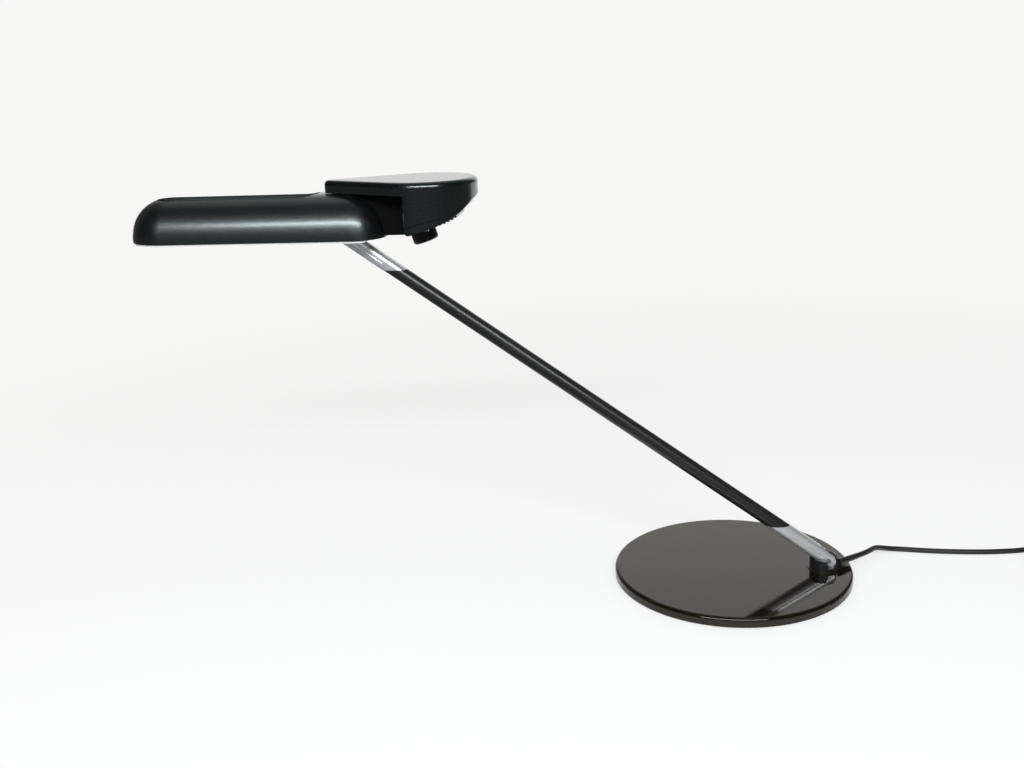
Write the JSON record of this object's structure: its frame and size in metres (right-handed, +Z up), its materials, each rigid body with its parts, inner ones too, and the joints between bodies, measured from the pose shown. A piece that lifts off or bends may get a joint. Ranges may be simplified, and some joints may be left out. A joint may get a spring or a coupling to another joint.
{
  "type": "desk lamp",
  "caption": "Balance desk lamp: round base, swivelling tilting straight arm between chrome forks, and a long tilting shade balanced by its ballast housing.",
  "frame": {"origin": "centre of the round base's underside, on the table", "axes": "+Z up; the shade reaches out along -X and the cord leaves along +X; +Y across the base"},
  "size_m": [1.005, 0.24, 0.4132],
  "materials": {
    "base_enamel": "gloss enamel, nearly black",
    "felt": "dark felt",
    "nylon": "natural nylon",
    "black_paint": "satin black paint",
    "steel": "plain zinc-plated steel",
    "cord_rubber": "matte black sheath",
    "tie_plastic": "black strap",
    "brass": "polished",
    "chrome": "bright chrome plate",
    "shade_paint": "satin metallic dark grey paint on aluminium",
    "white_paint": "white enamel on aluminium",
    "holder_plastic": "white heat-resistant plastic",
    "lamp_glass": "phosphor-coated glass",
    "neck_plastic": "matte black",
    "housing_plastic": "satin metallic dark grey",
    "knob_plastic": "satin black",
    "winding": "varnished copper winding"
  },
  "bodies": {
    "base": {"base_plate": "base_enamel", "base_pad": "felt", "swivel_bush": "nylon", "swivel_collar": "black_paint", "collar_pins": "steel", "stop_pin": "steel", "strain_relief": "cord_rubber", "base_cable": "cord_rubber", "cord_tube": "cord_rubber", "cord_coil": "cord_rubber", "cord_tie": "tie_plastic", "plug_body": "cord_rubber", "plug_pins": "brass"},
    "turret": {"turret": "black_paint", "swivel_nut": "steel", "stop_washer": "steel", "wave_washer": "steel", "tilt_washers": "nylon", "tilt_pin": "steel"},
    "arm": {"arm_tube": "black_paint", "lower_fork": "chrome", "upper_fork": "chrome", "arm_cable": "cord_rubber", "head_pin": "steel"},
    "head": {"head_bracket": "steel", "head_washers": "nylon", "shade_shell": "shade_paint", "shade_screws": "steel", "reflector": "white_paint", "lampholder": "holder_plastic", "lamp_base": "holder_plastic", "lamp_tubes": "lamp_glass", "neck": "neck_plastic", "block_shell": "housing_plastic", "block_cover": "housing_plastic", "cover_screws": "steel", "ballast_core": "steel", "ballast_coil": "winding", "ballast_screws": "steel", "terminal_block": "holder_plastic", "switch_body": "neck_plastic", "head_cable": "cord_rubber", "lamp_leads": "cord_rubber", "knob_collar": "neck_plastic"},
    "knob": {"knob": "knob_plastic", "switch_shaft": "nylon"}
  },
  "joints": [
    {"name": "swivel_turn", "type": "hinge", "parent": "base", "child": "turret", "pos_m": [0.091, -0.0044, 0.0116], "axis": [0, 0, 1], "range_deg": [-90, 90]},
    {"name": "arm_tilt", "type": "hinge", "parent": "turret", "child": "arm", "pos_m": [0.0948, -0.0044, 0.0202], "axis": [0, 1, 0], "range_deg": [-4.5, 52]},
    {"name": "head_tilt", "type": "hinge", "parent": "arm", "child": "head", "pos_m": [-0.38742, -0.0044, 0.36378], "axis": [0, 1, 0], "range_deg": [-60, 14]},
    {"name": "knob_turn", "type": "hinge", "parent": "head", "child": "knob", "pos_m": [-0.30252, -0.0044, 0.36483], "axis": [0.299, 0, -0.9542], "range_deg": [0, 90]}
  ]
}
